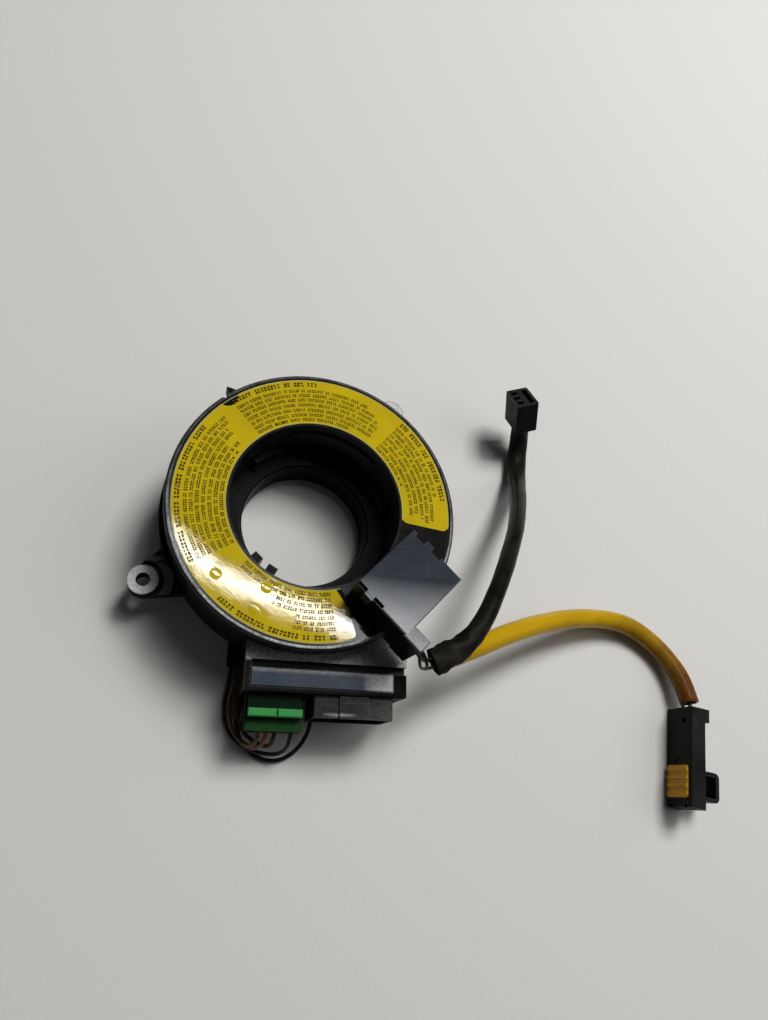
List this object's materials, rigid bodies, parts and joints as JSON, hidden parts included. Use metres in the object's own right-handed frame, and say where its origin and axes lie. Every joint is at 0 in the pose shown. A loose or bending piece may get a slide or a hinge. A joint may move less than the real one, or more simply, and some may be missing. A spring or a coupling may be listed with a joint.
{
  "type": "steering clock spring",
  "caption": "A steering clock spring with a yellow ring label, wire tower, column connector block, angle sensor lead and two cords with plugs",
  "frame": {"origin": "centre of the bore, in the plane of the sensor's bottom plate that the unit lies on", "axes": "+Z along the steering axis towards the wheel, -Y towards the connector block, +X to its right seen from the wheel"},
  "size_m": [0.2342, 0.1724, 0.051],
  "materials": {
    "black_nylon": "moulded black glass-filled plastic, satin",
    "black_gloss": "smooth black plastic with a scuffed gloss",
    "green_plastic": "dark green plastic, satin to gloss",
    "light_green_plastic": "light green plastic, gloss",
    "green_board": "lacquered circuit board",
    "flat_cable_film": "clear polyester film over copper strips",
    "yellow_label": "printed yellow film label, satin",
    "yellow_tube": "yellow vinyl tube, browned at the far end",
    "black_sleeve": "black cloth-like wire sleeve, flattened",
    "yellow_plastic": "yellow plastic, satin",
    "black_wire": "black wire insulation",
    "brown_wire": "brown wire insulation",
    "orange_wire": "orange wire insulation",
    "yellow_wire": "yellow wire insulation",
    "tin_pins": "tinned copper",
    "steel": "thin etched steel",
    "brass": "stamped brass"
  },
  "bodies": {
    "stator": {"stator_case": "black_nylon", "block_cover": "black_gloss", "terminal_block": "black_nylon", "column_pins": "tin_pins", "sensor_pins": "tin_pins", "sensor_plug": "green_plastic", "plug_retainer": "light_green_plastic", "sensor_case": "black_nylon", "sensor_base": "black_nylon", "sensor_board": "green_board", "photo_eyes": "black_nylon", "flat_cable": "flat_cable_film", "sensor_wire_ground": "black_wire", "sensor_wire_brown": "brown_wire", "sensor_wire_orange": "orange_wire", "sensor_wire_yellow": "yellow_wire", "sensor_wire_black": "black_wire"},
    "rotor": {"rotor": "black_nylon", "label": "yellow_label", "tower_lid": "black_gloss", "busbar_carrier": "black_nylon", "busbars": "brass", "lower_sleeve": "black_nylon", "code_disc": "steel", "switch_leads": "black_wire", "switch_sleeve": "black_sleeve", "switch_plug": "black_nylon", "switch_terminals": "tin_pins", "airbag_leads": "yellow_wire", "airbag_tube": "yellow_tube", "airbag_lead_black": "black_wire", "airbag_lead_yellow": "yellow_wire", "airbag_plug": "black_nylon", "airbag_terminals": "brass"},
    "lock": {"airbag_lock": "yellow_plastic"}
  },
  "joints": [
    {"name": "rotor_spin", "type": "hinge", "parent": "stator", "child": "rotor", "pos_m": [0, 0, 0], "axis": [0, 0, 1], "range_deg": [-990, 990]},
    {"name": "airbag_lock_slide", "type": "slide", "parent": "rotor", "child": "lock", "axis": [-0.9863, 0.165, 0], "range_m": [0, 0.0025]}
  ]
}
